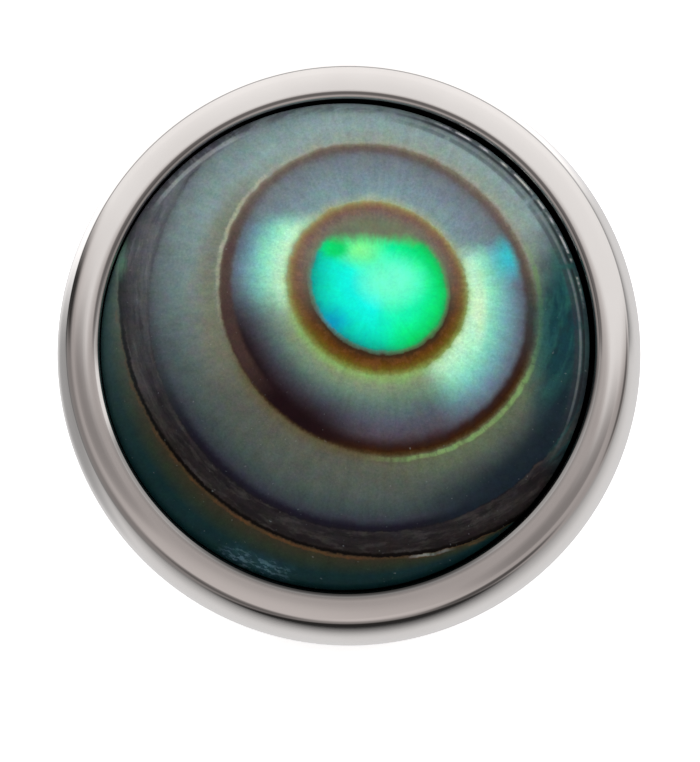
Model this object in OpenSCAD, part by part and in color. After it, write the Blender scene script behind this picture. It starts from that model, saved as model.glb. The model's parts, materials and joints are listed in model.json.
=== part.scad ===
// Threaded top for body jewellery: a polished round metal cup that holds a domed abalone shell,
// with a right-hand threaded post on its flat back.
// The head's own frame has its flat back at z = 0, the shell at +z and the post at -z.
// The whole thing rests on a table as it falls: on the back's edge and on the post's thread.

/* [Metal head] */
// Diameter of the head at its widest section
head_d = 6; // [5:0.5:8]
// Height of the widest section above the flat back
widest_h = 0.95; // [0.8:0.05:1.1]
// How far the crisp back edge lies inside the widest section
back_inset = 0.19; // [0.1:0.01:0.3]
// Height of the crease where the side wall turns into the rim
crease_h = 1.84; // [1.7:0.02:2]
// How far the crease lies inside the widest section
crease_inset = 0.12; // [0.08:0.01:0.16]
// Radius of the tight edge between the side wall and the rim's face
edge_round = 0.14; // [0.1:0.01:0.16]
// Radius of the gently crowned face of the rim
rim_crown = 0.62; // [0.5:0.02:0.8]
// Width of the metal from the widest section to the wall around the shell
rim_w = 0.47; // [0.4:0.01:0.5]
// Radius of the lip around the shell
lip_round = 0.06; // [0.03:0.01:0.07]
// Thickness of the metal between the back and the recess for the shell
floor_h = 0.6; // [0.5:0.05:0.7]

/* [Abalone shell] */
// Widest gap between the shell and the wall around it
shell_gap = 0.06; // [0.06:0.01:0.12]
// Narrowest gap between the shell and the wall around it, on the opposite side
shell_gap_low = 0.01; // [0.01:0.01:0.04]
// Direction of the widest gap, in degrees from the right towards the top
gap_angle = 18; // [0:1:90]
// How far the shell's edge lies below the top of the rim
girdle_drop = 0.1; // [0.05:0.01:0.2]
// Width of the softened edge around the dome
edge_w = 0.12; // [0.06:0.02:0.2]
// Height that the softened edge climbs
edge_rise = 0.09; // [0.04:0.01:0.12]
// Height of the dome above its softened edge
dome_rise = 0.32; // [0.1:0.02:0.6]

/* [Threaded post] */
// Diameter of the plain neck, the thread's nominal size
post_d = 0.9; // [0.8:0.05:1.2]
// Length of the plain neck between the back and the thread
neck_len = 0.36; // [0.3:0.02:0.6]
// Pitch of the thread
pitch = 0.225; // [0.2:0.005:0.25]
// Number of thread turns that show
turns = 6; // [4:1:8]
// Play of the thread's crest inside the nominal diameter
crest_play = 0.02; // [0.01:0.01:0.04]
// Length of the tapered lead-in at the tip
lead_in = 0.09; // [0.06:0.01:0.12]
// Length of the plug that the cup grips
plug_len = 0.4; // [0.3:0.02:0.45]

/* [Hidden] */

$fn = 96;

// Head
head_r = head_d / 2;
back_r = head_r - back_inset;
crease_r = head_r - crease_inset;
opening_r = head_r - rim_w;
// Each half of the barrel-shaped wall is one arc that stands upright at the widest section
back_arc_r = barrel_radius(back_inset, widest_h);
front_arc_r = barrel_radius(crease_inset, crease_h - widest_h);
back_lean = asin(widest_h / back_arc_r);
crease_lean = asin((crease_h - widest_h) / front_arc_r);
// Slope at which the tight edge meets the crowned face
face_start = 72;
edge_centre = [crease_r, crease_h] - edge_round * direction(crease_lean);
crown_centre = edge_centre - (rim_crown - edge_round) * direction(face_start);
lip_centre_r = opening_r + lip_round;
face_end = acos((lip_centre_r - crown_centre[0]) / (rim_crown - lip_round));
lip_centre = crown_centre + (rim_crown - lip_round) * direction(face_end);
rim_top = lip_centre[1] + lip_round;

// Post
post_r = post_d / 2;
crest_r = post_r - crest_play / 2;
thread_depth = 0.6134 * pitch;
thread_len = turns * pitch;
plug_taper = 0.02;
plug_play = 0.01;
bore_depth = plug_len + 0.02;
tip_scale = 0.65;
// Turns that start inside the neck, so that thread and neck are one solid
buried_turns = 0.25;
steps_per_turn = 16;

// Shell
shell_r = opening_r - (shell_gap + shell_gap_low) / 2;
shell_shift = (shell_gap - shell_gap_low) / 2;
bed_gap = 0.02;
girdle_h = rim_top - girdle_drop;
dome_r = shell_r - edge_w;
dome_base_h = girdle_h + edge_rise;
dome_arc_r = (dome_r * dome_r + dome_rise * dome_rise) / (2 * dome_rise);

// The head tips over until the back's edge and a flat side of the thread's last crest lie on the table
crest_side_r = crest_r * cos(180 / steps_per_turn);
rest_tilt = atan((neck_len + thread_len) / (back_r - crest_side_r));
front_reach = max([for (p = cup_outline()) p[0] * cos(rest_tilt) + p[1] * sin(rest_tilt)]);
back_reach = max([for (p = cup_outline()) p[0] * cos(rest_tilt) - p[1] * sin(rest_tilt)]);

function direction(angle) = [cos(angle), sin(angle)];

// Radius of an arc that starts upright and leans in by inset over a height
function barrel_radius(inset, height) = (inset * inset + height * height) / (2 * inset);

// Points along an arc, both ends included
function arc(centre, radius, start, end, steps) =
    [for (i = [0 : steps]) centre + radius * direction(start + (end - start) * i / steps)];

// Half section of the cup's outer skin, from the back's edge over the rim to the shell's opening
function cup_outline() = concat(
    arc([head_r - back_arc_r, widest_h], back_arc_r, -back_lean, 0, 6),
    arc([head_r - front_arc_r, widest_h], front_arc_r, 0, crease_lean, 5),
    arc(edge_centre, edge_round, crease_lean, face_start, 6),
    arc(crown_centre, rim_crown, face_start, face_end, 4),
    arc(lip_centre, lip_round, face_end, 180, 6)
);

// Distance from the axis to the thread's surface, where turn is measured from the crest's middle:
// an eighth of a turn is crest, a quarter is root and the rest is the two flanks
function thread_radius(turn) =
    crest_r - thread_depth * min(1, max(0, (abs(turn - round(turn)) - 1 / 16) * 16 / 5));

// Cross-section of the thread, with a flat side of its crest towards the table
module thread_section() {
    polygon([
        for (i = [0.5 : steps_per_turn - 0.5])
            thread_radius(i / steps_per_turn) * direction(i * 360 / steps_per_turn - 90)
    ]);
}

module thread() {
    run = (turns + buried_turns) * pitch;
    translate([0, 0, -neck_len - thread_len]) {
        linear_extrude(
            height = run,
            twist = -360 * run / pitch,
            slices = run / pitch * steps_per_turn,
            $fn = steps_per_turn
        )
            thread_section();
        mirror([0, 0, 1])
            linear_extrude(
                height = lead_in,
                twist = 360 * lead_in / pitch,
                scale = tip_scale,
                slices = ceil(lead_in / pitch * steps_per_turn),
                $fn = steps_per_turn
            )
                thread_section();
    }
}

// Turns the head's frame into the resting one, with the table at z = 0 and the origin mid-footprint
module at_rest() {
    translate([0, (front_reach - back_reach) / 2, back_r * sin(rest_tilt)])
        rotate([rest_tilt, 0, 0])
            children();
}

// Cup with a flat back, a barrel-shaped wall, a crowned rim and a blind bore for the post
module bezel_cup() {
    color([0.78, 0.76, 0.74])
        at_rest()
            rotate_extrude()
                polygon(concat(
                    [[post_r + plug_play, 0]],
                    cup_outline(),
                    [
                        [opening_r, floor_h],
                        [0, floor_h],
                        [0, bore_depth],
                        [post_r + plug_play, bore_depth]
                    ]
                ));
}

// Post with a plug inside the cup, a plain neck and a right-hand thread
module threaded_post() {
    color([0.72, 0.71, 0.7])
        at_rest() {
            rotate_extrude()
                polygon([
                    [0, plug_len],
                    [post_r - plug_taper, plug_len],
                    [post_r, 0],
                    [post_r, -neck_len],
                    [0, -neck_len]
                ]);
            thread();
        }
}

// Domed shell that lies in the cup, a little off centre and away from the widest gap
module abalone_cabochon() {
    color([0.2, 0.5, 0.45])
        at_rest()
            translate(-shell_shift * [cos(gap_angle), sin(gap_angle), 0])
                rotate_extrude()
                    polygon(concat(
                        [[0, floor_h + bed_gap], [shell_r, floor_h + bed_gap], [shell_r, girdle_h]],
                        arc(
                            [0, dome_base_h + dome_rise - dome_arc_r],
                            dome_arc_r,
                            acos(dome_r / dome_arc_r),
                            90,
                            12
                        )
                    ));
}

bezel_cup();
threaded_post();
abalone_cabochon();
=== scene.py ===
import json
from math import acos, asin, cos, degrees, radians, sin, tan, tau

import bmesh
import bpy
from mathutils import Matrix, Vector


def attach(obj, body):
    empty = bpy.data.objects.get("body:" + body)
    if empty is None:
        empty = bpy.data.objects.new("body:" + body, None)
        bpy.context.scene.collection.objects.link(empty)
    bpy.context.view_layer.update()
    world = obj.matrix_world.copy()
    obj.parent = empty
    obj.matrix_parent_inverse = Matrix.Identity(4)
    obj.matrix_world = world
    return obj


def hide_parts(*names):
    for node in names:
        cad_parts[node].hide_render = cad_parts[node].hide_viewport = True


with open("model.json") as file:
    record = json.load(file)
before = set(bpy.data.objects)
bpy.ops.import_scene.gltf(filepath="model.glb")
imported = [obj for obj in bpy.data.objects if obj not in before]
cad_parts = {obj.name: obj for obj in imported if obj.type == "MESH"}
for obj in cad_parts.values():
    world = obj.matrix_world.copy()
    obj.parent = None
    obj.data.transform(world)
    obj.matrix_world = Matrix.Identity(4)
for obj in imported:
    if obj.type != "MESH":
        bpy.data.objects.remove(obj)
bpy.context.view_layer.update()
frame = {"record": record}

MM = 0.001

# The head's own frame, from the mount on the post: its flat back at z = 0, the shell at +z.
# All lengths below are millimetres in that frame, as in the part's source.
mounts = {mount["name"]: mount for mount in frame["record"]["mounts"]}
post_mount = mounts["thread_post"]
head_axis = -Vector(post_mount["axis"])
neck_len = post_mount["dims"]["length_mm"]
back_centre = Vector(post_mount["pos_m"]) + head_axis * neck_len / 2 * MM
rest_tilt = head_axis.angle(Vector((0, 0, 1)))
HEAD_TO_WORLD = (
    Matrix.Translation(back_centre)
    @ Matrix.Rotation(rest_tilt, 4, "X")
    @ Matrix.Scale(MM, 4)
)

# Metal head
head_r = 3.0
widest_h = 0.95
back_inset = 0.19
crease_h = 1.84
crease_inset = 0.12
edge_round = 0.14
rim_crown = 0.62
rim_w = 0.47
lip_round = 0.06
floor_h = 0.6
back_edge_round = 0.02
face_start = 72

# Abalone shell
shell_gap = 0.06
shell_gap_low = 0.01
gap_angle = 18
girdle_drop = 0.1
edge_w = 0.12
edge_rise = 0.09
dome_rise = 0.32
bed_gap = 0.02

# Threaded post
post_r = post_mount["dims"]["r_mm"]
pitch = 0.225
turns = 6
crest_play = 0.02
crest_r = post_r - crest_play / 2
thread_depth = 0.6134 * pitch
root_round = 0.144 * pitch
flank_lean = 30
lead_in = 0.09
tip_scale = 0.65
neck_bevel = 0.02
plug_len = 0.4
plug_taper = 0.02
plug_play = 0.01
bore_depth = plug_len + 0.02

# Steps of a turned piece and of one turn of the thread
SEGMENTS = 256
THREAD_STEPS = 96
# Points closer than this are merged, and edges that fold more than this stay sharp
MERGE = 1e-5
SHARP = radians(28)


def direction(angle):
    return Vector((cos(radians(angle)), sin(radians(angle))))


def barrel_radius(inset, height):
    """Radius of an arc that starts upright and leans in by inset over a height."""
    return (inset * inset + height * height) / (2 * inset)


opening_r = head_r - rim_w
back_arc_r = barrel_radius(back_inset, widest_h)
front_arc_r = barrel_radius(crease_inset, crease_h - widest_h)
crease_lean = degrees(asin((crease_h - widest_h) / front_arc_r))
edge_centre = Vector((head_r - crease_inset, crease_h)) - edge_round * direction(crease_lean)
crown_centre = edge_centre - (rim_crown - edge_round) * direction(face_start)
face_end = degrees(acos((opening_r + lip_round - crown_centre.x) / (rim_crown - lip_round)))
lip_centre = crown_centre + (rim_crown - lip_round) * direction(face_end)
rim_top = lip_centre.y + lip_round

shell_r = opening_r - (shell_gap + shell_gap_low) / 2
shell_shift = (shell_gap_low - shell_gap) / 2 * direction(gap_angle)
girdle_h = rim_top - girdle_drop
dome_r = shell_r - edge_w
dome_base_h = girdle_h + edge_rise
dome_arc_r = barrel_radius(dome_rise, dome_r)
thread_end = -neck_len - turns * pitch


class Lathe:
    """A half section drawn as a chain of edges in the head's XZ plane, then turned about Z."""

    def __init__(self, radius, height):
        self.mesh = bmesh.new()
        self.tip = self.mesh.verts.new((radius, 0, height))

    def line(self, radius, height):
        grown = bmesh.ops.extrude_vert_indiv(self.mesh, verts=[self.tip])
        self.tip = grown["verts"][0]
        self.tip.co = (radius, 0, height)

    def arc(self, centre, turn, steps):
        """Carries the tip round a centre by turn degrees, positive from +X towards +Z."""
        grown = bmesh.ops.spin(
            self.mesh,
            geom=[self.tip],
            cent=(centre.x, 0, centre.y),
            axis=(0, -1, 0),
            angle=radians(turn),
            steps=steps,
            use_merge=False,
            use_duplicate=False,
        )
        self.tip = next(e for e in grown["geom_last"] if isinstance(e, bmesh.types.BMVert))

    def turned(self):
        """The closed solid, with its seam and its poles merged."""
        self.sweep(tau, SEGMENTS, 0, True)
        close_up(self.mesh)
        return self.mesh

    def sweep(self, angle, steps, rise, merge):
        bmesh.ops.spin(
            self.mesh,
            geom=self.mesh.verts[:] + self.mesh.edges[:],
            cent=(0, 0, 0),
            axis=(0, 0, 1),
            dvec=(0, 0, rise),
            angle=angle,
            steps=steps,
            use_merge=merge,
            use_duplicate=False,
        )


def close_up(mesh):
    bmesh.ops.remove_doubles(mesh, verts=mesh.verts, dist=MERGE)
    bmesh.ops.dissolve_degenerate(mesh, dist=MERGE / 10, edges=mesh.edges)
    bmesh.ops.recalc_face_normals(mesh, faces=mesh.faces)


def placed(name, mesh):
    """A mesh as an object of the scene. The bmesh is used up."""
    data = bpy.data.meshes.new(name)
    mesh.to_mesh(data)
    mesh.free()
    made = bpy.data.objects.new(name, data)
    bpy.context.scene.collection.objects.link(made)
    return made


def combined(first, second, operation):
    """The union or intersection of two closed meshes."""
    bodies = [placed("blank", first), placed("cutter", second)]
    cut = bodies[0].modifiers.new("cut", "BOOLEAN")
    cut.operation = operation
    cut.solver = "EXACT"
    cut.object = bodies[1]
    result = bmesh.new()
    result.from_object(bodies[0], bpy.context.evaluated_depsgraph_get())
    for body in bodies:
        bpy.data.meshes.remove(body.data)
    return result


def piece(name, mesh, material, node):
    """A finished object of the head: its place is in its mesh, and it stands for one CAD node."""
    for face in mesh.faces:
        face.smooth = True
    for edge in mesh.edges:
        edge.smooth = edge.calc_face_angle(0) < SHARP
    bmesh.ops.transform(mesh, matrix=HEAD_TO_WORLD, verts=mesh.verts)
    made = placed(name, mesh)
    made.data.materials.append(material)
    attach(made, "root")
    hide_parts(node)


def bezel_cup(material):
    """The turned cup: a blind bore, a mirror-flat back, barrel sides, a crowned rim and the recess."""
    back_centre_x = head_r - back_arc_r
    back_lean = degrees(asin((widest_h - back_edge_round) / (back_arc_r - back_edge_round)))
    back_edge_x = back_centre_x + (back_arc_r - back_edge_round) * cos(radians(back_lean))
    lathe = Lathe(0, bore_depth)
    lathe.line(post_r + plug_play, bore_depth)
    lathe.line(post_r + plug_play, 0)
    lathe.line(back_edge_x, 0)
    lathe.arc(Vector((back_edge_x, back_edge_round)), 90 - back_lean, 6)
    lathe.arc(Vector((back_centre_x, widest_h)), back_lean, 16)
    lathe.arc(Vector((head_r - front_arc_r, widest_h)), crease_lean, 14)
    lathe.arc(edge_centre, face_start - crease_lean, 14)
    lathe.arc(crown_centre, face_end - face_start, 8)
    lathe.arc(lip_centre, 180 - face_end, 14)
    lathe.line(opening_r, floor_h)
    lathe.line(0, floor_h)
    piece("bezel_cup_turned", lathe.turned(), material, "bezel_cup")


def abalone_cabochon(material):
    """The shell: a flat underside, a short girdle, a softened edge and a low dome."""
    dome_lean = degrees(asin(dome_r / dome_arc_r))
    chord = Vector((-edge_w, edge_rise))
    chord_normal = 90 - degrees(Vector((edge_w, edge_rise)).angle_signed(Vector((1, 0))))
    half_turn = 90 - dome_lean - chord_normal
    softening_r = chord.length / (2 * sin(radians(half_turn)))
    softening_centre = Vector((shell_r, girdle_h)) - softening_r * direction(chord_normal - half_turn)
    lathe = Lathe(0, floor_h + bed_gap)
    lathe.line(shell_r, floor_h + bed_gap)
    lathe.line(shell_r, girdle_h)
    lathe.arc(softening_centre, 2 * half_turn, 8)
    lathe.arc(Vector((0, dome_base_h + dome_rise - dome_arc_r)), dome_lean, 40)
    mesh = lathe.turned()
    bmesh.ops.translate(mesh, verts=mesh.verts, vec=shell_shift.to_3d())
    piece("abalone_cabochon_domed", mesh, material, "abalone_cabochon")


def thread():
    """A right-hand thread with 60 degree flanks and rounded roots, its last crest facing the table.

    It is swept longer than needed at both ends and then cut off flat.
    """
    crest_w = pitch / 8
    groove_centre = Vector((crest_r - thread_depth + root_round, (crest_w + pitch) / 2))
    root_start = groove_centre - root_round * Vector((sin(radians(flank_lean)), cos(radians(flank_lean))))
    spare_turns = 2
    whole_turns = turns + spare_turns + 1
    lathe = Lathe(crest_r, 0)
    lathe.line(crest_r, crest_w)
    lathe.line(root_start.x, root_start.y)
    lathe.arc(groove_centre, 2 * flank_lean - 180, 8)
    lathe.line(crest_r, pitch)
    lathe.sweep(tau * whole_turns, THREAD_STEPS * whole_turns, pitch / THREAD_STEPS, False)
    mesh = lathe.mesh
    # The helix starts at the side, a quarter of a turn above the crest that faces the table
    quarter_turn = pitch / 4
    start = thread_end + quarter_turn - crest_w / 2
    bmesh.ops.translate(mesh, verts=mesh.verts, vec=(0, 0, start - spare_turns * pitch))
    bmesh.ops.remove_doubles(mesh, verts=mesh.verts, dist=MERGE)
    inside_neck = -neck_len + quarter_turn
    for height, side in ((inside_neck, 1), (thread_end - lead_in, -1)):
        bmesh.ops.bisect_plane(
            mesh,
            geom=mesh.verts[:] + mesh.edges[:] + mesh.faces[:],
            plane_co=(0, 0, height),
            plane_no=(0, 0, side),
            clear_outer=True,
        )
        cut = [e for e in mesh.edges if e.is_boundary and abs(e.verts[0].co.z - height) < MERGE / 10]
        bmesh.ops.holes_fill(mesh, edges=cut, sides=0)
    close_up(mesh)
    return mesh


def threaded_post(material):
    """The post: its plug, a plain neck, and the thread cut into a bar with a bevelled tip."""
    tip_r = tip_scale * crest_r
    bevel_slope = lead_in / (crest_r - tip_r)
    bar_top = -neck_len + pitch / 2
    bar = Lathe(0, bar_top)
    bar.line(post_r, bar_top)
    bar.line(post_r, thread_end + (post_r - crest_r) * bevel_slope)
    bar.line(tip_r, thread_end - lead_in)
    bar.line(0, thread_end - lead_in)
    neck = Lathe(0, plug_len)
    neck.line(post_r - plug_taper, plug_len)
    neck.line(post_r, 0)
    neck.line(post_r, -neck_len + neck_bevel)
    neck.line(post_r - neck_bevel, -neck_len)
    neck.line(0, -neck_len)
    mesh = combined(thread(), bar.turned(), "INTERSECT")
    mesh = combined(neck.turned(), mesh, "UNION")
    close_up(mesh)
    piece("threaded_post_cut", mesh, material, "threaded_post")


class Signal:
    """One output in a recipe of nodes. Arithmetic on it adds Math nodes."""

    def __init__(self, recipe, socket):
        self.recipe = recipe
        self.socket = socket

    def math(self, operation, *operands):
        return self.recipe.node("Math", {"operation": operation}, dict(enumerate(operands)))

    def __add__(self, other):
        return self.math("ADD", self, other)

    def __radd__(self, other):
        return self.math("ADD", other, self)

    def __sub__(self, other):
        return self.math("SUBTRACT", self, other)

    def __rsub__(self, other):
        return self.math("SUBTRACT", other, self)

    def __mul__(self, other):
        return self.math("MULTIPLY", self, other)

    def __rmul__(self, other):
        return self.math("MULTIPLY", other, self)

    def __truediv__(self, other):
        return self.math("DIVIDE", self, other)

    def __pow__(self, other):
        return self.math("POWER", self, other)

    def __abs__(self):
        return self.math("ABSOLUTE", self)

    def at_least(self, other):
        return self.math("MAXIMUM", self, other)

    def at_most(self, other):
        return self.math("MINIMUM", self, other)

    def between(self, low, high):
        """0 at low and 1 at high, with a soft start and end. low may be the larger."""
        limits = {"Value": self, "From Min": low, "From Max": high}
        return self.recipe.node("MapRange", {"interpolation_type": "SMOOTHSTEP"}, limits)


class Recipe:
    """The nodes of one material, or of the studio around the object."""

    def __init__(self, tree):
        self.tree = tree

    def node(self, kind, settings, values, output=0):
        made = self.tree.nodes.new("ShaderNode" + kind)
        for name, value in settings.items():
            if name == "stops":
                set_stops(made.color_ramp.elements, value)
            else:
                setattr(made, name, value)
        for name, value in values.items():
            self.feed(made.inputs[name], value)
        return Signal(self, made.outputs[output])

    def feed(self, socket, value):
        if isinstance(value, Signal):
            self.tree.links.new(value.socket, socket)
        else:
            socket.default_value = value

    def mix(self, factor, first, second, blend="MIX"):
        """first where factor is 0, second where it is 1."""
        first_socket, second_socket, colour_output = 6, 7, 2
        values = {0: factor, first_socket: first, second_socket: second}
        return self.node("Mix", {"data_type": "RGBA", "blend_type": blend}, values, colour_output)

    def noise(self, point, scale, detail=2, roughness=0.5):
        values = {"Vector": point, "Scale": scale, "Detail": detail, "Roughness": roughness}
        return self.node("TexNoise", {}, values)

    def ramp(self, position, stops):
        return self.node("ValToRGB", {"stops": stops}, {0: position})

    def along(self, point, axis):
        value_output = 1
        return self.node("VectorMath", {"operation": "DOT_PRODUCT"}, {0: point, 1: axis}, value_output)

    def scaled(self, colour, factor):
        return self.node("VectorMath", {"operation": "SCALE"}, {0: colour, "Scale": factor})


def set_stops(elements, stops):
    """Fills a new colour ramp, whose two elements become the first and the last stop."""
    elements[0].position = stops[0][0]
    elements[1].position = stops[-1][0]
    for position, _ in stops[1:-1]:
        elements.new(position)
    for element, (_, colour) in zip(elements, stops):
        element.color = colour


class Finish(Recipe):
    """A material under construction, with the head's own coordinates in millimetres."""

    def __init__(self, name, constants):
        self.material = bpy.data.materials.new(name)
        self.material.use_nodes = True
        super().__init__(self.material.node_tree)
        self.shader = self.tree.nodes["Principled BSDF"]
        for socket, value in constants.items():
            self.shader.inputs[socket].default_value = value
        place = self.node("TexCoord", {}, {}, "Object")
        head = {"Vector": place, "Location": back_centre, "Rotation": (rest_tilt, 0, 0), "Scale": (MM,) * 3}
        self.point = self.node("Mapping", {"vector_type": "TEXTURE"}, head)
        self.x, self.y, self.z = (self.node("SeparateXYZ", {}, {"Vector": self.point}, i) for i in range(3))
        self.radius = length(self.x, self.y)

    def stretched(self, x, y, z):
        return self.node("CombineXYZ", {}, {"X": x, "Y": y, "Z": z})

    def shade(self, name, value):
        self.feed(self.shader.inputs[name], value)

    def bump(self, height, strength, distance):
        values = {"Height": height, "Strength": strength, "Distance": distance * MM}
        self.shade("Normal", self.node("Bump", {}, values))


def length(first, second):
    return (first * first + second * second) ** 0.5


def tone(red, green, blue):
    """A colour as a paint maker writes it, from 0 to 255, as linear light with alpha."""
    channels = (value / 255 for value in (red, green, blue))
    return tuple(c / 12.92 if c <= 0.04045 else ((c + 0.055) / 1.055) ** 2.4 for c in channels) + (1,)


TITANIUM = (0.90, 0.865, 0.84, 1)
DULL_TITANIUM = (0.80, 0.76, 0.735, 1)
MACHINED_TITANIUM = (0.68, 0.64, 0.61, 1)
ROOT_SHADE_TITANIUM = (0.2, 0.17, 0.15, 1)
DEEP_BLACK = (0.006, 0.006, 0.006, 1)


def polished_metal():
    """Mirror-polished titanium with faint lathe lines and wiping marks, with painted dark reflections along
    the lip and painted black shade in the recess.
    """
    finish = Finish("polished_titanium", {"Metallic": 1})
    lathe_lines = finish.noise(finish.stretched(finish.radius * 60, finish.z * 60, finish.x * 0.4), 1, 3, 0.6)
    wiping = finish.noise(finish.point, 1.6, 4)
    # Painted shade: the wall of the recess is painted black.
    painted_shade_in_recess = finish.radius.between(opening_r + 0.006, opening_r + 0.001) * finish.z.between(0.45, 0.55)
    toward_top = finish.y / finish.radius
    upper_side = toward_top.between(-0.15, 0.1)
    lower_side = toward_top.between(-0.7, -0.95)
    # Painted dark reflections on the lip: a thin dark line on the upper side, and a dark band within it that
    # is strongest on the lower side and left out on the left.
    left_gap_in_band = stripe(toward_top, -0.22, 0.22) * finish.x.between(0, -0.5)
    painted_dark_lip_line = stripe(finish.radius, opening_r + 0.055, 0.028) * upper_side * 0.65
    painted_dark_lip_band = finish.radius.between(opening_r + 0.1, opening_r + 0.03) * (1 - left_gap_in_band)
    painted_dark_lip_band = painted_dark_lip_band * (0.62 - upper_side * 0.34 + lower_side * 0.32)
    painted_lip_reflections = painted_dark_lip_line.at_least(painted_dark_lip_band) * finish.z.between(1.8, 1.85)
    tarnish = finish.noise(finish.point, 0.9, 3).between(0.35, 0.7) * 0.4
    clean = finish.mix(tarnish, TITANIUM, DULL_TITANIUM)
    finish.shade("Base Color", finish.mix(painted_shade_in_recess.at_least(painted_lip_reflections), clean, DEEP_BLACK))
    finish.shade("Roughness", 0.06 + wiping.between(0.35, 0.75) * 0.05 + lathe_lines * 0.03 + painted_shade_in_recess * 0.5)
    finish.bump(lathe_lines, 0.05, 0.004)
    return finish.material


def threaded_metal():
    """Machined titanium, rougher down in the thread's roots and darker there with painted shade."""
    finish = Finish("machined_titanium", {"Metallic": 1})
    root = finish.radius.between(crest_r - 0.02, crest_r - 0.13)
    tool_marks = finish.noise(finish.stretched(finish.radius * 20, finish.z * 90, finish.x * 2), 1, 3, 0.6)
    # Painted shade: the base colour is darker down in the roots.
    finish.shade("Base Color", finish.mix(root * 0.8, MACHINED_TITANIUM, ROOT_SHADE_TITANIUM))
    finish.shade("Roughness", 0.16 + root * 0.22 + tool_marks * 0.1)
    finish.bump(tool_marks, 0.15, 0.006)
    return finish.material


# Growth rings of the shell, as distances from the middle of its eye: the mean radius, then how much
# farther off the ring is towards the right, towards the top, across and along the rising diagonal
GROWTH_RINGS = {
    "eye": (0.70, 0.00, 0.03, 0.01, -0.04),
    "brown band": (0.92, -0.02, 0.01, 0.01, -0.04),
    "thin ring": (1.56, -0.02, -0.09, 0.01, -0.075),
    "dark band": (2.29, -0.04, -0.17, 0.00, 0.00),
    "outer strip": (2.71, 0.02, 0.01, -0.02, 0.00),
}
EYE_R = GROWTH_RINGS["eye"][0]
EYE_X, EYE_Y = 0.316, 0.554
LAST_AGE = len(GROWTH_RINGS) + 1

# How far the rings wander off these curves: slowly, in ripples and in frayed edges
DRIFT, RIPPLE, FRAY = 0.04, 0.035, 0.025

# What each colour of the shell is between two rings, from the eye outwards: an age of 1 is the
# eye's edge, 2 the brown band's, 3 the thin ring, 4 the dark band, 5 the outer strip and 6 the rim
# Below the eye, the shell's colours carry painted shade.
BELOW_THE_EYE_PAINTED_SHADE = (
    (0.98, tone(48, 32, 20)), (1.17, tone(58, 40, 22)), (1.34, tone(81, 49, 15)), (1.51, tone(92, 62, 14)),
    (1.7, tone(96, 83, 24)), (1.88, tone(114, 124, 60)),
    (2.02, tone(126, 158, 96)), (2.13, tone(118, 136, 106)),
    (2.3, tone(96, 120, 106)), (2.46, tone(82, 100, 100)), (2.62, tone(78, 82, 94)), (2.8, tone(74, 68, 77)),
    (2.88, tone(58, 46, 50)), (2.94, tone(44, 27, 24)), (3.0, tone(48, 25, 8)), (3.04, tone(62, 44, 20)),
    (3.09, tone(86, 80, 58)), (3.21, tone(83, 85, 76)), (3.41, tone(76, 83, 76)), (3.57, tone(71, 80, 76)),
    (3.72, tone(58, 70, 69)), (3.87, tone(48, 52, 60)), (3.95, tone(22, 20, 32)), (4.02, tone(20, 18, 24)),
    (4.08, tone(34, 31, 34)), (4.84, tone(31, 27, 26)), (4.91, tone(10, 7, 6)),
    (5.0, tone(8, 6, 5)), (5.03, tone(62, 48, 32)), (5.1, tone(46, 42, 30)), (5.35, tone(33, 42, 33)),
    (5.6, tone(14, 37, 39)),
)
# Above the eye, the shell's colours carry a painted sheen, a reflection of the light in the nacre.
ABOVE_THE_EYE_PAINTED_SHEEN = (
    (0.98, tone(108, 108, 92)), (1.2, tone(109, 103, 90)), (1.4, tone(110, 92, 84)),
    (1.55, tone(114, 90, 76)), (1.68, tone(124, 100, 74)), (1.8, tone(134, 118, 80)),
    (1.9, tone(142, 142, 100)),
    (1.97, tone(148, 160, 130)), (2.06, tone(132, 154, 144)), (2.14, tone(117, 144, 146)),
    (2.36, tone(114, 136, 144)), (2.6, tone(107, 123, 131)), (2.8, tone(102, 113, 119)),
    (2.88, tone(97, 100, 103)), (2.94, tone(92, 85, 83)), (3.0, tone(98, 88, 80)), (3.05, tone(118, 112, 98)),
    (3.085, tone(144, 150, 138)), (3.13, tone(134, 150, 140)), (3.22, tone(131, 150, 146)),
    (3.4, tone(130, 152, 153)), (3.65, tone(116, 138, 139)), (3.95, tone(103, 118, 120)),
    (4.05, tone(84, 90, 95)), (4.3, tone(92, 96, 100)), (4.7, tone(70, 72, 76)), (4.95, tone(48, 52, 54)),
    (5.1, tone(90, 106, 100)), (6, tone(60, 84, 82)),
)
# The pale colours of the flares, a painted reflection of the light in the nacre.
PAINTED_REFLECTION_IN_A_FLARE = (
    (1.95, tone(150, 176, 118)), (2.06, tone(178, 224, 184)), (2.14, tone(176, 230, 196)),
    (2.26, tone(154, 224, 190)), (2.4, tone(126, 204, 180)), (2.52, tone(112, 176, 171)),
    (2.66, tone(102, 142, 152)), (2.8, tone(90, 106, 120)), (3, tone(80, 82, 92)),
)

# The eye's right and left sides, from its middle outwards
GREEN_SIDE = (
    (0, tone(70, 242, 190)), (0.5, tone(14, 238, 172)), (0.7, tone(0, 228, 138)), (0.88, tone(0, 203, 98)),
    (1, tone(28, 150, 84)),
)
BLUE_SIDE = (
    (0, tone(70, 242, 214)), (0.4, tone(4, 234, 218)), (0.65, tone(0, 222, 196)), (0.86, tone(0, 188, 166)),
    (1, tone(16, 120, 120)),
)

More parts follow.
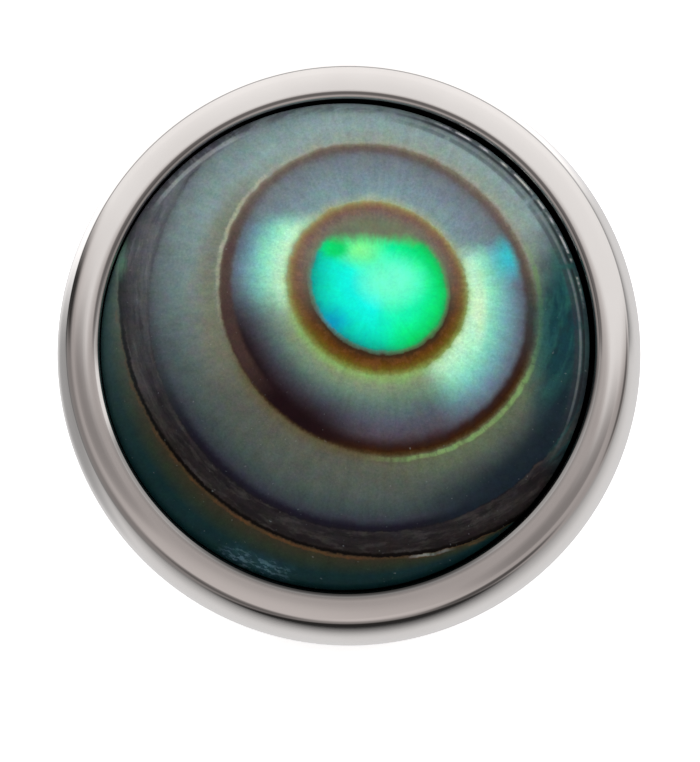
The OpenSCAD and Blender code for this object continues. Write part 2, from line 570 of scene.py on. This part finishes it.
CYAN = tone(48, 190, 200)
LILAC = tone(116, 112, 138)
CREAM = tone(172, 172, 144)
TAN = tone(126, 104, 82)
RUST = tone(104, 66, 36)
PLUM_BROWN = tone(72, 54, 50)
OLIVE_GREY = tone(106, 108, 90)
YELLOW_GREEN = tone(96, 128, 82)
LEAF_GREEN = tone(116, 148, 92)
MOSS_GREEN = tone(120, 136, 100)
SEA_GREEN = tone(100, 142, 122)
PALE_GREEN = tone(206, 230, 190)
TEAL = tone(40, 92, 86)
DEEP_TEAL = tone(16, 56, 62)
NAVY = tone(22, 32, 40)
DULL_BLUE = tone(40, 66, 78)
PALE_BLUE = tone(104, 134, 146)
SLATE = tone(92, 94, 102)
DARK_SLATE = tone(50, 52, 58)
BLUE_BLACK = tone(24, 26, 30)
DARK_VIOLET = tone(44, 42, 52)
NEARLY_BLACK = tone(24, 10, 14)
INK = tone(20, 17, 20)
WARM_GREY = tone(58, 53, 52)
STONE_GREY = tone(60, 58, 56)
COOL_GREY = tone(60, 64, 66)
SILVER_GREY = tone(120, 122, 126)
LIGHT_GREY = tone(122, 130, 132)
PALE_GREY = tone(150, 158, 156)
PALE_SCRATCH = tone(166, 174, 176)
GLINT = tone(206, 208, 208)
EYE_MINT = tone(104, 246, 200)
EYE_GREEN = tone(0, 208, 104)
EYE_BLUE = tone(0, 150, 188)
EYE_LIME = tone(124, 238, 140)
# The eye's grey above the edge of its painted reflection
GREY_PAST_THE_REFLECTION = tone(104, 112, 90)

# Sectors seen from the eye, in degrees: the direction, then how far to either side of it the sector is
# full and where it ends
SECTORS = {
    "right flare": (-8, 34, 58),
    "left flare": (159, 6, 44),
    "thin ring, lower left": (-137, 16, 50),
    "thin ring, left": (186, 14, 44),
    "past the thin ring, left": (176, 14, 46),
    "lower right": (-34, 26, 62),
    "cream line": (153, 14, 44),
    "navy corner": (-45, 6, 38),
    "painted shade along the top": (100, 46, 80),
    "nicks": (146, 9, 22),
    "scratches": (146, 6, 17),
    "right edge": (26, 40, 72),
    "glint": (36, 26, 42),
    "blue side of the eye": (208, 40, 100),
}

# Soft ovals: the middle, half the width and height, and how much of the oval is full
PATCHES = {
    "cyan end of the flare": (1.61, 0.93, 0.24, 0.34, 0),
    "pale streak": (1.34, 0.36, 0.11, 0.50, 0.1),
    "teal side": (2.25, 0.15, 0.52, 1.70, 0.3),
    "green left edge": (-2.33, 0.88, 0.10, 0.34, 0.1),
    "chips": (-0.95, -2.30, 0.60, 0.30, 0.3),
    "flaw": (0.90, -2.12, 0.30, 0.20, 0.2),
    "mint glow": (0.44, 0.64, 0.46, 0.36, 0.1),
    "blue corner": (-0.17, 0.20, 0.28, 0.24, 0),
    "lime top": (0.12, 0.95, 0.32, 0.24, 0),
    "green corner": (-0.14, 0.97, 0.20, 0.16, 0.3),
}

# Shades of the thin ring and past it: the sector, the ages, the strength and the tint
RING_SHADES = (
    ("thin ring, lower left", (2.2, 2.95, 3.02, 3.08), 1, NEARLY_BLACK),
    ("thin ring, left", (2.82, 2.92, 3.02, 3.08), 0.7, PLUM_BROWN),
    ("past the thin ring, left", (3.08, 3.16, 3.2, 3.6), 0.7, OLIVE_GREY),
    ("lower right", (3.04, 3.12, 3.14, 3.5), 0.3, YELLOW_GREEN),
)
# Lines along the shell's edge: the distance from it, half the width, the strength and the tint
UPPER_LEFT_LINES = ((0.1, 0.032, 0.4, PALE_SCRATCH), (0.135, 0.014, 0.4, SLATE))
RIGHT_LINES = (
    (0.13, 0.03, 0.45, DARK_VIOLET),
    (0.09, 0.018, 0.4, LIGHT_GREY),
    (0.055, 0.018, 0.7, BLUE_BLACK),
)
# Patches in the eye, each with its strength and tint
EYE_PATCHES = (
    ("mint glow", 1, EYE_MINT),
    ("blue corner", 0.9, EYE_BLUE),
    ("lime top", 0.9, EYE_LIME),
    ("green corner", 1, EYE_GREEN),
)


class Growth:
    """Where a point of the shell lies among the growth rings."""

    def __init__(self, finish):
        self.finish = finish
        drift, ripple, fray = (self.jitter(finish.point, scale) for scale in (0.9, 9, 28))
        elsewhere = finish.node("VectorMath", {"operation": "ADD"}, {0: finish.point, 1: (7, 3, 5)})
        other_drift = self.jitter(elsewhere, 0.9)
        self.x = finish.x + drift * DRIFT + ripple * RIPPLE + fray * FRAY
        self.y = finish.y + other_drift * DRIFT - ripple * RIPPLE + fray * FRAY
        away_x, away_y = self.x - EYE_X, self.y - EYE_Y
        self.from_eye = length(away_x, away_y)
        self.heading_x = away_x / self.from_eye
        self.heading_y = away_y / self.from_eye
        self.distance = {name: self.past(*ring) for name, ring in GROWTH_RINGS.items()}
        across = length(finish.x - shell_shift.x, finish.y - shell_shift.y)
        self.distance["rim"] = across - shell_r
        self.from_rim = shell_r - across
        names = list(self.distance)
        self.age = (1 + self.distance["eye"] / EYE_R).at_most(1)
        for inner, outer in zip(names, names[1:]):
            gone = self.distance[inner].at_least(0)
            left = (0 - self.distance[outer]).at_least(0)
            self.age = self.age + gone / (gone + left)

    def jitter(self, point, scale):
        return self.finish.noise(point, scale, 3) - 0.5

    def past(self, radius, right, up, wide, slant):
        """Distance outside a ring, negative inside it."""
        across = self.heading_x * self.heading_x - self.heading_y * self.heading_y
        diagonal = self.heading_x * self.heading_y * 2
        ring = radius + self.heading_x * right + self.heading_y * up + across * wide + diagonal * slant
        return self.from_eye - ring

    def sector(self, name):
        angle, core, spread = SECTORS[name]
        to_side = direction(angle)
        facing = self.heading_x * to_side.x + self.heading_y * to_side.y
        return facing.between(cos(radians(spread)), cos(radians(core)))

    def patch(self, name):
        x, y, half_w, half_h, core = PATCHES[name]
        return length((self.x - x) / half_w, (self.y - y) / half_h).between(1, core)

    def ages(self, start, full, fade, end):
        return self.age.between(start, full) * self.age.between(end, fade)

    def streaks(self, around, along):
        """Noise drawn out along the rings where along is the larger, and across them where around is."""
        ring_point = (self.heading_x * around, self.heading_y * around, self.from_eye * along)
        return self.finish.noise(self.finish.stretched(*ring_point), 1, 3, 0.6)


def stripe(distance, middle, half_w):
    """A soft line where a distance has its middle value."""
    return abs(distance - middle).between(half_w, half_w * 0.3)


class Paint:
    """The colour of the shell as it builds up, wash over wash."""

    def __init__(self, finish):
        self.finish = finish
        self.growth = Growth(finish)
        below, above, self.flare = (
            finish.ramp(self.growth.age / LAST_AGE, [(age / LAST_AGE, shade) for age, shade in stops])
            for stops in (BELOW_THE_EYE_PAINTED_SHADE, ABOVE_THE_EYE_PAINTED_SHEEN, PAINTED_REFLECTION_IN_A_FLARE)
        )
        # high is the side above the eye, with the painted sheen, and low the side below it, with the painted
        # shade
        self.high = (self.growth.heading_y - self.growth.heading_x * 0.08).between(-0.65, 0.65)
        self.low = 1 - self.high
        self.grooves = self.growth.streaks(2.5, 9)
        self.rays = self.growth.streaks(24, 1.5)
        self.colour = finish.mix(self.high, below, above)

    def wash(self, mask, tint):
        self.colour = self.finish.mix(mask, self.colour, tint)


def pearly_zone(paint):
    """The zone between the brown band and the thin ring, with a bright flare on either side that is a painted
    reflection of the light, and lilac mottling on the side with the painted sheen.
    """
    growth = paint.growth
    pearl = growth.ages(1.94, 2.05, 2.82, 2.94)
    mottling = paint.finish.noise(paint.finish.point, 2.6, 4, 0.6)
    paint.wash(pearl * paint.high * mottling.between(0.5, 0.68) * 0.18, LILAC)
    right_top = growth.y - (growth.x - 1.4) * 0.4 + (mottling - 0.5) * 0.4
    # Painted reflection: the right flare, cut off by a straight top edge.
    paint.wash(growth.sector("right flare") * right_top.between(1.15, 0.9) * pearl, paint.flare)
    left = growth.sector("left flare")
    left = left * left.at_least(growth.age.between(2.4, 2.1)) * growth.y.between(1.38, 1.12)
    paint.wash(left * pearl, paint.flare)
    paint.wash(growth.patch("cyan end of the flare") * growth.age.between(2.98, 2.8) * 0.9, CYAN)


def thin_ring(paint):
    """Darker and lighter stretches of the thin ring, and the fine lines on its outer side."""
    growth = paint.growth
    for sector, ages, strength, tint in RING_SHADES:
        paint.wash(growth.sector(sector) * growth.ages(*ages) * strength, tint)
    cream_line = stripe(growth.distance["thin ring"], 0.065, 0.03) * growth.sector("cream line")
    paint.wash(cream_line * growth.streaks(6, 2).between(0.35, 0.6) * 0.45, CREAM)
    green_line = stripe(growth.distance["thin ring"], 0.09, 0.036) * paint.rays.between(0.25, 0.5)
    paint.wash(growth.sector("lower right") * green_line * 0.8, LEAF_GREEN)


def sides(paint):
    """The teal and navy right side, and small coloured marks elsewhere."""
    finish, growth = paint.finish, paint.growth
    teal_side = growth.patch("teal side")
    paint.wash(teal_side, DEEP_TEAL)
    paint.wash(teal_side * growth.streaks(3, 6).between(0.42, 0.6) * 0.55, TEAL)
    paint.wash(teal_side * growth.streaks(4, 5).between(0.5, 0.35) * 0.5, NAVY)
    paint.wash(growth.patch("green left edge") * 0.55, SEA_GREEN)
    paint.wash(growth.sector("navy corner") * growth.ages(3.3, 3.82, 3.98, 4.06) * 0.95, NAVY)
    rust_line = stripe(growth.distance["outer strip"], 0.03, 0.018) * growth.streaks(6, 3).between(0.44, 0.64)
    paint.wash(rust_line * paint.low * 0.32, RUST)
    paint.wash(growth.patch("pale streak") * 0.55, PALE_GREEN)
    # Flecks, rust-coloured on the side with the painted shade and tan on the side with the painted sheen.
    flecks = finish.noise(finish.point, 13, 3).between(0.52, 0.62)
    paint.wash(growth.ages(1.1, 1.3, 1.7, 1.9) * flecks * 0.4, finish.mix(paint.high, RUST, TAN))


def dark_band(paint):
    """Grooves along the dark band, with grey and near-black streaks in its lower half, and lighter ridges and
    grooves on the side with the painted sheen.
    """
    finish, growth = paint.finish, paint.growth
    in_band = growth.ages(4.0, 4.08, 4.84, 4.9)
    # Ridge and groove colours are lighter copies on the side with the painted sheen and darker ones on the
    # side with the painted shade.
    ridge = finish.mix(paint.high, WARM_GREY, SILVER_GREY)
    groove = finish.mix(paint.high, INK, DARK_SLATE)
    paint.wash(in_band * paint.grooves.between(0.5, 0.7) * 0.6, ridge)
    paint.wash(in_band * paint.grooves.between(0.5, 0.34) * 0.6, groove)
    rough = growth.streaks(9, 14).between(0.48, 0.64) * paint.low
    paint.wash(in_band * rough * 0.4, STONE_GREY)
    dark_streaks_below = growth.streaks(12, 16).between(0.5, 0.36) * paint.low
    paint.wash(growth.ages(3.9, 4.2, 4.5, 4.9) * dark_streaks_below * 0.35, DEEP_BLACK)


def edge_wear_shade_and_glint(paint):
    """Wear along the shell's edge: nicks and scratches above, lines at the right and chips below, with
    painted shade along the top and a painted glint at the upper right.
    """
    growth = paint.growth
    # Painted shade along the top edge, streaked darker.
    top = growth.from_rim.between(0.14, 0.04) * growth.sector("painted shade along the top")
    paint.wash(top * 0.45, SLATE)
    paint.wash(top * growth.streaks(5, 14).between(0.45, 0.62) * 0.5, DARK_SLATE)
    nicks = growth.sector("nicks") * growth.from_rim.between(0.11, 0.07)
    paint.wash(nicks * growth.streaks(30, 5).between(0.44, 0.56) * 0.55, DARK_SLATE)
    wavering = growth.from_rim + paint.grooves * 0.03
    for middle, half_w, strength, tint in UPPER_LEFT_LINES:
        paint.wash(stripe(wavering, middle, half_w) * growth.sector("scratches") * strength, tint)
    right_edge = growth.sector("right edge") * growth.streaks(8, 2).between(0.3, 0.5)
    paint.wash(right_edge * growth.from_rim.between(0.19, 0.07) * 0.5, COOL_GREY)
    for middle, half_w, strength, tint in RIGHT_LINES:
        paint.wash(right_edge * stripe(growth.from_rim, middle, half_w) * strength, tint)
    # A painted highlight: a thin, broken glint along the upper right edge.
    glint = growth.sector("glint") * growth.streaks(12, 2).between(0.42, 0.56)
    paint.wash(glint * stripe(growth.from_rim, 0.024, 0.016) * 0.75, GLINT)
    chips = growth.streaks(34, 44).between(0.5, 0.6) * growth.ages(5.5, 5.75, 5.95, 6)
    paint.wash(growth.patch("chips") * growth.ages(5.4, 5.7, 5.9, 6) * 0.25, DULL_BLUE)
    paint.wash(growth.patch("chips") * chips * 0.24, PALE_BLUE)
    flaw = stripe(growth.distance["outer strip"], 0.02, 0.02) * growth.patch("flaw")
    paint.wash(flaw * paint.rays.between(0.3, 0.55) * 0.4, PALE_GREY)


def eye(paint):
    """The bright eye, green on its right and blue on its left, with a painted highlight in its mint middle. A
    straight painted reflection edge cuts its colours off above, where it turns grey.
    """
    finish, growth = paint.finish, paint.growth
    green_side, blue_side = (finish.ramp(growth.age, stops) for stops in (GREEN_SIDE, BLUE_SIDE))
    bright = finish.mix(growth.sector("blue side of the eye"), green_side, blue_side)
    for name, strength, tint in EYE_PATCHES:
        bright = finish.mix(growth.patch(name) * strength, bright, tint)
    # Painted reflection: a straight edge, wavering a little, above which the eye's bright colours give way to
    # grey.
    reflection_top_edge = growth.y + (growth.streaks(9, 2) - 0.5) * 0.12
    bright = finish.mix(reflection_top_edge.between(0.98, 1.16), bright, GREY_PAST_THE_REFLECTION)
    paint.wash(growth.distance["eye"].between(0.03, -0.05), bright)
    edge = stripe(growth.distance["eye"], -0.005, 0.03) * growth.y.between(1.1, 0.85)
    paint.wash(edge * 0.22, MOSS_GREEN)


def abalone():
    """Polished abalone: a green eye, brown rings round it, and dark bands towards the rim."""
    finish = Finish("abalone", {"Specular IOR Level": 0.06})
    paint = Paint(finish)
    for layer in (pearly_zone, thin_ring, sides, dark_band, edge_wear_shade_and_glint, eye):
        layer(paint)

    past_the_eye = paint.growth.distance["eye"]
    specks = finish.noise(finish.point, 26, 1).between(0.72, 0.84)
    paint.wash(specks * past_the_eye.between(0.1, 0.3) * 0.15, PALE_SCRATCH)
    colour_output = 1
    sheen_look = {"Vector": finish.point, "Scale": 9, "Detail": 4, "Roughness": 0.7}
    sheen = finish.node("TexNoise", {}, sheen_look, colour_output)
    colour = finish.mix(0.27, paint.colour, sheen, "OVERLAY")
    cloud = finish.noise(finish.point, 5, 3, 0.6)
    grain = finish.noise(finish.point, 36, 2, 0.8)
    texture = 0.45 + past_the_eye.between(-0.1, 0.1) * 0.55
    fine = (grain - 0.5) * 0.55 + (paint.rays - 0.5) * 0.35
    brightness = 0.97 + (cloud - 0.5) * 0.35 + fine * texture
    finish.shade("Base Color", finish.scaled(colour, brightness))
    finish.shade("Roughness", 0.1 + cloud * 0.06)
    return finish.material


bezel_cup(polished_metal())
abalone_cabochon(abalone())
threaded_post(threaded_metal())

# The photograph's frame, and where the middle of the head's widest section lies in it
FRAME_W_PX = 700
FRAME_H_PX = 762
HEAD_X_PX = 349.0
HEAD_Y_PX = 354.1
PX_PER_MM = 97.2

# The camera looks a few degrees off the head's face, from lower right of it, through a long lens
below_face = radians(5.26)
right_of_face = radians(1.2)
sight = HEAD_TO_WORLD.to_quaternion() @ Vector((tan(right_of_face), -tan(below_face), 1)).normalized()
aim = sight.to_track_quat("Z", "Y")
image_right = aim @ Vector((1, 0, 0))
image_up = aim @ Vector((0, 1, 0))

# Tints of the studio: rosy in the room in front, pale in the tent and behind
ROSY = (1, 0.93, 0.915, 1)
PALE = (1, 0.988, 0.988, 1)

# Dark flags of the studio: the angles of the middle around and off the sight line, how far from there
# the flag is full and where it ends, and the share of the light that it takes. The first ones darken
# only the room, the next also the tent, and the last also the light from behind.
ROOM_FLAGS = ((274, 118, 20, 37, 0.9), (305, 82, 6, 23, 0.75), (240, 76, 6, 24, 0.5))
OUTER_FLAGS = ((340, 28, 4, 19, 0.4), (174, 28, 2, 15, 0.35), (186, 146, 8, 18, 0.5), (354, 100, 4, 19, 0.65))
BACK_FLAGS = ((190, 157, 4, 13, 0.5),)


def camera():
    distance = 120 * MM
    lens = bpy.data.cameras.new("camera")
    made = bpy.data.objects.new("camera", lens)
    bpy.context.scene.collection.objects.link(made)
    across = (FRAME_W_PX / 2 - HEAD_X_PX) / PX_PER_MM * MM
    up = (HEAD_Y_PX - FRAME_H_PX / 2) / PX_PER_MM * MM
    widest_centre = HEAD_TO_WORLD @ Vector((0, 0, widest_h))
    made.rotation_mode = "QUATERNION"
    made.rotation_quaternion = aim
    made.location = widest_centre + across * image_right + up * image_up + sight * distance
    lens.sensor_fit = "VERTICAL"
    lens.sensor_height = 24
    lens.lens = lens.sensor_height * distance / (FRAME_H_PX / PX_PER_MM * MM)
    lens.clip_start = 5 * MM
    lens.clip_end = 5
    bpy.context.scene.camera = made


def floor():
    """A round white table. The metal mirrors the studio and not the table, as in a light tent."""
    mesh = bmesh.new()
    bmesh.ops.create_circle(mesh, cap_ends=True, segments=128, radius=1.5)
    made = placed("floor", mesh)
    material = bpy.data.materials.new("white_floor")
    material.use_nodes = True
    shader = material.node_tree.nodes["Principled BSDF"]
    shader.inputs["Base Color"].default_value = (0.95, 0.95, 0.95, 1)
    shader.inputs["Roughness"].default_value = 0.9
    shader.inputs["Specular IOR Level"].default_value = 0
    shader.inputs["Emission Color"].default_value = (1, 1, 1, 1)
    shader.inputs["Emission Strength"].default_value = 0.7
    made.data.materials.append(material)
    made.visible_glossy = False


def studio():
    """A bright tent above the sight line and a grey room below it, with dark flags and two lamps.

    Its levels are those that the metal shows.
    """
    world = bpy.data.worlds.new("studio")
    world.use_nodes = True
    bpy.context.scene.world = world
    room = Recipe(world.node_tree)
    ray = room.node("TexCoord", {}, {}, "Generated")
    right, up, front = (room.along(ray, axis) for axis in (image_right, image_up, sight))

    def spot(around, off, core, edge):
        """1 near a direction given by its angle around and off the sight line, 0 beyond the edge."""
        side = direction(around)
        axis = sin(radians(off)) * (side.x * image_right + side.y * image_up) + cos(radians(off)) * sight
        return room.along(ray, axis).between(cos(radians(edge)), cos(radians(core)))

    def shaded(level, flags):
        for around, off, core, edge, share in flags:
            level = level * (1 - share * spot(around, off, core, edge))
        return level

    tent_edge = up - (right * 0.14).at_least(right * -0.53) - front.between(0.93, 1) * 0.35
    tent = tent_edge.between(-0.2, 0.17)
    tent_level = 0.70 + up.between(0.3, 1) * 0.14
    near_level = 0.33 + spot(245, 40, 5, 40) * 0.13
    far_level = 0.20 + right.between(0.1, 0.6) * 0.1
    room_level = near_level + (far_level - near_level) * front.between(0.6, 0.1)
    room_level = room_level + spot(284, 54, 6, 22) * 0.07
    left_flag = (up + right * 0.1).between(-0.06, 0.1) * right.between(0, -0.3) * front.between(0.5, -0.1)
    room_level = shaded(room_level * (1 - 0.85 * left_flag), ROOM_FLAGS)
    level = shaded(room_level + (tent_level - room_level) * tent, OUTER_FLAGS)
    seam = front.between(-0.58, -0.7) * front.between(-0.93, -0.84) * up.between(-0.02, 0.05)
    behind = front.between(-0.75, -0.92)
    behind_level = 0.58 + (up - right.at_least(0) * 0.55).between(0, 0.12) * 0.42
    level = level + (behind_level - level) * behind
    level = shaded(level * (1 - 0.6 * seam), BACK_FLAGS)
    tint = room.mix(tent.at_least(front.between(-0.3, -0.7)), ROSY, PALE)
    background = world.node_tree.nodes["Background"]
    room.feed(background.inputs["Color"], room.scaled(tint, level / TITANIUM[1]))


def fill_light():
    """A wide soft lamp from the front and above, which only lights and isn't mirrored."""
    lamp = bpy.data.lights.new("fill", "SUN")
    lamp.energy = 1.4
    lamp.angle = radians(60)
    made = bpy.data.objects.new("fill", lamp)
    bpy.context.scene.collection.objects.link(made)
    made.rotation_euler = (radians(25), 0, 0)
    made.visible_glossy = False


camera()
floor()
studio()
fill_light()
bpy.context.scene.view_settings.view_transform = "Standard"
